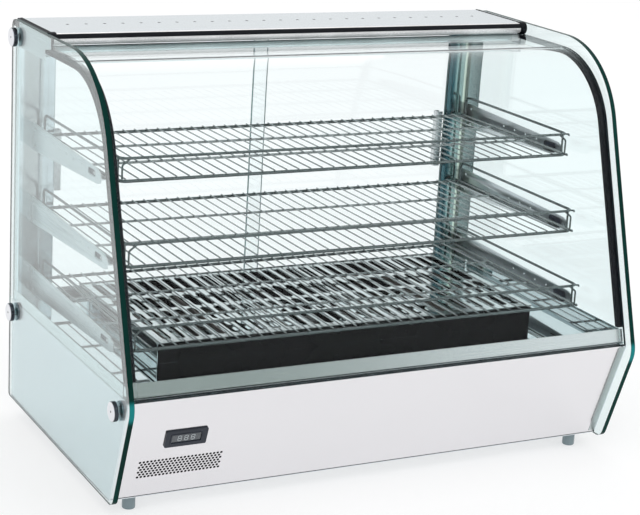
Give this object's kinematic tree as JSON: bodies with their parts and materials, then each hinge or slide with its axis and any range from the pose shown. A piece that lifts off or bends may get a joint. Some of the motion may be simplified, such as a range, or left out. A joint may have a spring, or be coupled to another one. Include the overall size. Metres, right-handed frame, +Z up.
{
  "type": "glass display showcase",
  "caption": "Countertop heated glass display showcase: curved front glass, flat glass sides, chromed wire shelves, rear sliding glass doors and a steel base with a fan heater.",
  "frame": {"origin": "centre of the bounding box in X and Y, on the plane the four feet stand on", "axes": "+X to the right seen from the front, +Y from the curved glass towards the sliding doors, +Z up"},
  "size_m": [0.89, 0.5464, 0.6606],
  "materials": {
    "side_glass": "clear 8 mm tempered float glass, polished dark green edge",
    "front_glass": "clear 6 mm bent tempered glass",
    "door_glass": "clear 5 mm tempered glass",
    "brushed_steel": "fine brushed stainless sheet",
    "polished_steel": "near mirror polished stainless sheet",
    "chromed_wire": "bright chromed steel wire",
    "chrome_cap": "bright chrome",
    "seal_rubber": "matt black extruded rubber",
    "black_paint": "matt black heat-resistant paint",
    "dark_plastic": "satin black moulded plastic",
    "display_lens": "glossy dark tinted window",
    "foot_grey": "grey moulded foot",
    "aluminium": "satin anodised",
    "lamp_white": "white diffused lamp with sockets",
    "lamp_cover": "clear pale lamp guard tube",
    "heater_sheath": "oxidised steel sheath"
  },
  "bodies": {
    "root": {"base_chassis": "brushed_steel", "cabin_floor": "polished_steel", "control_plate": "brushed_steel", "display_bezel": "dark_plastic", "display_module": "display_lens", "door_track_bottom": "aluminium", "door_track_top": "aluminium", "fan_frame": "black_paint", "foot_front_left": "foot_grey", "foot_front_right": "foot_grey", "foot_rear_left": "foot_grey", "foot_rear_right": "foot_grey", "front_fascia": "brushed_steel", "front_glass": "front_glass", "front_seal_left": "seal_rubber", "front_seal_right": "seal_rubber", "front_sill": "brushed_steel", "glass_cap_front_bottom_left": "chrome_cap", "glass_cap_front_bottom_right": "chrome_cap", "glass_cap_rear_bottom_left": "chrome_cap", "glass_cap_rear_bottom_right": "chrome_cap", "glass_cap_rear_top_left": "chrome_cap", "glass_cap_rear_top_right": "chrome_cap", "heater_box": "black_paint", "heater_cover": "polished_steel", "heating_element": "heater_sheath", "lamp_cover": "lamp_cover", "lamp_tube": "lamp_white", "power_inlet": "dark_plastic", "rear_panel": "brushed_steel", "rear_post_left": "brushed_steel", "rear_post_right": "brushed_steel", "roof_bracket_left": "brushed_steel", "roof_bracket_right": "brushed_steel", "roof_plate": "brushed_steel", "roof_seal_left": "seal_rubber", "roof_seal_right": "seal_rubber", "shelf_bracket_bottom_left": "brushed_steel", "shelf_bracket_bottom_right": "brushed_steel", "shelf_bracket_middle_left": "brushed_steel", "shelf_bracket_middle_right": "brushed_steel", "shelf_bracket_top_left": "brushed_steel", "shelf_bracket_top_right": "brushed_steel", "side_glass_left": "side_glass", "side_glass_right": "side_glass", "terminal_block": "dark_plastic"},
    "door_left": {"door_left": "door_glass", "door_handle_left": "aluminium"},
    "door_right": {"door_right": "door_glass", "door_handle_right": "aluminium"},
    "shelf_top": {"shelf_deck_top": "chromed_wire", "shelf_rail_top": "chromed_wire"},
    "shelf_middle": {"shelf_deck_middle": "chromed_wire", "shelf_rail_middle": "chromed_wire"},
    "shelf_bottom": {"shelf_deck_bottom": "chromed_wire", "shelf_rail_bottom": "chromed_wire"},
    "thermostat_knob": {"thermostat_knob": "dark_plastic"},
    "power_switch": {"power_switch": "dark_plastic"},
    "light_switch": {"light_switch": "dark_plastic"},
    "fan_rotor": {"fan_rotor": "black_paint"}
  },
  "joints": [
    {"name": "door_left_slide", "type": "slide", "parent": "root", "child": "door_left", "axis": [1, 0, 0], "range_m": [0, 0.325]},
    {"name": "door_right_slide", "type": "slide", "parent": "root", "child": "door_right", "axis": [1, 0, 0], "range_m": [-0.325, 0]},
    {"name": "shelf_top_lift", "type": "slide", "parent": "root", "child": "shelf_top", "axis": [0, 0, 1], "range_m": [0, 0.03]},
    {"name": "shelf_middle_lift", "type": "slide", "parent": "root", "child": "shelf_middle", "axis": [0, 0, 1], "range_m": [0, 0.03]},
    {"name": "shelf_bottom_lift", "type": "slide", "parent": "root", "child": "shelf_bottom", "axis": [0, 0, 1], "range_m": [0, 0.03]},
    {"name": "thermostat_turn", "type": "hinge", "parent": "root", "child": "thermostat_knob", "pos_m": [0.185, 0.2564, 0.115], "axis": [0, 1, 0], "range_deg": [0, 270]},
    {"name": "power_switch_rock", "type": "hinge", "parent": "root", "child": "power_switch", "pos_m": [0.255, 0.255, 0.115], "axis": [1, 0, 0], "range_deg": [0, 14]},
    {"name": "light_switch_rock", "type": "hinge", "parent": "root", "child": "light_switch", "pos_m": [0.305, 0.255, 0.115], "axis": [1, 0, 0], "range_deg": [0, 14]},
    {"name": "fan_spin", "type": "hinge", "parent": "root", "child": "fan_rotor", "pos_m": [0, 0.03, 0.1793], "axis": [0, 0, 1], "continuous": true}
  ]
}
